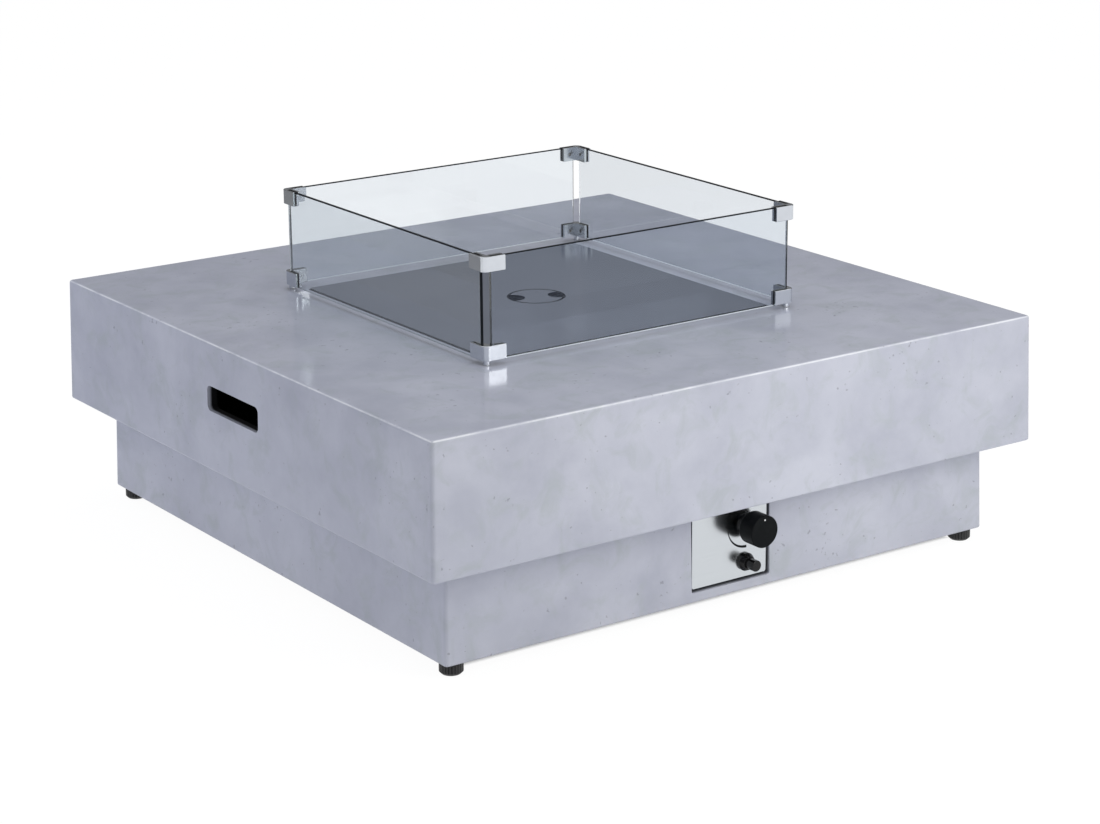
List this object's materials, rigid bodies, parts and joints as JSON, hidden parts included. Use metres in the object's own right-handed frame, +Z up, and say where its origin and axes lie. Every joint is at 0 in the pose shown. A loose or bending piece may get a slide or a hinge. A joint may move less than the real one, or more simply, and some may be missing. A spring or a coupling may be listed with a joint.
{
  "type": "gas fire pit table",
  "caption": "Low square fire pit table: cast overhanging top on a base, flush steel lid with finger grip, clear glass wind guard, recessed control panel.",
  "frame": {"origin": "on the floor under the middle of the table", "axes": "+Z up; the control panel faces -Y; +X to the right as seen from the front"},
  "size_m": [1.0698, 1.0698, 0.5135],
  "materials": {
    "casing": "pale blue-grey cast concrete, faintly clouded, with fine pits; the top is sealed and slightly glossy",
    "plated_steel": "zinc plated steel",
    "foot_plastic": "black moulded plastic",
    "pan_steel": "folded stainless steel",
    "burner_steel": "stainless tube, satin",
    "brass": "turned brass",
    "ceramic": "glazed white ceramic",
    "copper": "drawn copper",
    "panel_steel": "polished grey steel sheet",
    "knob_plastic": "black satin plastic with a white dot on the front",
    "black_plastic": "black moulded plastic",
    "button_plastic": "black button",
    "valve_alloy": "die-cast alloy",
    "tube_alloy": "bent alloy tube",
    "battery_steel": "plain battery can",
    "lead_rubber": "silicone covered wire",
    "lid_steel": "dark grey satin steel",
    "disc_steel": "dark satin steel, a little brighter than the lid",
    "clear_glass": "clear toughened glass with a grey-green cast and dark edges",
    "clip_chrome": "polished metal extrusion",
    "gasket_rubber": "black glazing rubber",
    "screw_steel": "stainless socket screws"
  },
  "bodies": {
    "table": {"upper_casing": "casing", "base_casing": "casing", "joining_straps": "plated_steel", "strap_bolts": "plated_steel", "foot_inserts": "plated_steel", "burner_pan": "pan_steel", "burner": "burner_steel", "burner_nut": "plated_steel", "air_mixer": "burner_steel", "orifice_fitting": "brass", "sensor_bracket": "burner_steel", "electrode": "ceramic", "thermocouple": "copper", "control_panel": "panel_steel", "panel_clamp_bars": "plated_steel", "panel_nuts": "plated_steel", "valve_body": "valve_alloy", "valve_bezel": "black_plastic", "inlet_elbow": "brass", "igniter_body": "black_plastic", "igniter_locknut": "black_plastic", "igniter_battery": "battery_steel", "feed_tube": "tube_alloy", "electrode_lead": "lead_rubber", "thermocouple_lead": "copper"},
    "valve_plunger_body": {"valve_plunger": "brass"},
    "knob": {"control_knob": "knob_plastic", "valve_spindle": "brass"},
    "igniter_button": {"igniter_cap": "button_plastic"},
    "lid": {"lid_plate": "lid_steel", "lid_grip_disc": "disc_steel", "lid_grip_cup": "disc_steel"},
    "wind_guard": {"glass_front": "clear_glass", "glass_right": "clear_glass", "glass_back": "clear_glass", "glass_left": "clear_glass", "lower_clip_front_left": "clip_chrome", "lower_clip_front_right": "clip_chrome", "lower_clip_back_left": "clip_chrome", "lower_clip_back_right": "clip_chrome", "upper_clip_front_left": "clip_chrome", "upper_clip_front_right": "clip_chrome", "upper_clip_back_left": "clip_chrome", "upper_clip_back_right": "clip_chrome", "lower_gaskets": "gasket_rubber", "upper_gaskets": "gasket_rubber", "lower_set_screws": "screw_steel", "upper_set_screws": "screw_steel", "guard_posts": "clip_chrome", "post_pads": "gasket_rubber"},
    "foot_body_front_left": {"foot_front_left": "foot_plastic"},
    "foot_body_front_right": {"foot_front_right": "foot_plastic"},
    "foot_body_back_left": {"foot_back_left": "foot_plastic"},
    "foot_body_back_right": {"foot_back_right": "foot_plastic"}
  },
  "joints": [
    {"name": "knob_press", "type": "slide", "parent": "table", "child": "valve_plunger_body", "axis": [0, 1, 0], "range_m": [0, 0.005], "stiffness_N_per_m": 1500, "springref_m": -0.001},
    {"name": "knob_turn", "type": "hinge", "parent": "valve_plunger_body", "child": "knob", "pos_m": [0.0285, -0.48, 0.117], "axis": [0, -1, 0], "range_deg": [0, 210]},
    {"name": "igniter_press", "type": "slide", "parent": "table", "child": "igniter_button", "axis": [0, 1, 0], "range_m": [0, 0.004], "stiffness_N_per_m": 1500, "springref_m": -0.0005},
    {"name": "lid_lift", "type": "slide", "parent": "table", "child": "lid", "axis": [0, 0, 1], "range_m": [0, 0.15]},
    {"name": "guard_lift", "type": "slide", "parent": "table", "child": "wind_guard", "axis": [0, 0, 1], "range_m": [0, 0.2]},
    {"name": "foot_front_left_screw", "type": "slide", "parent": "table", "child": "foot_body_front_left", "axis": [0, 0, -1], "range_m": [0, 0.012]},
    {"name": "foot_front_right_screw", "type": "slide", "parent": "table", "child": "foot_body_front_right", "axis": [0, 0, -1], "range_m": [0, 0.012]},
    {"name": "foot_back_left_screw", "type": "slide", "parent": "table", "child": "foot_body_back_left", "axis": [0, 0, -1], "range_m": [0, 0.012]},
    {"name": "foot_back_right_screw", "type": "slide", "parent": "table", "child": "foot_body_back_right", "axis": [0, 0, -1], "range_m": [0, 0.012]}
  ]
}
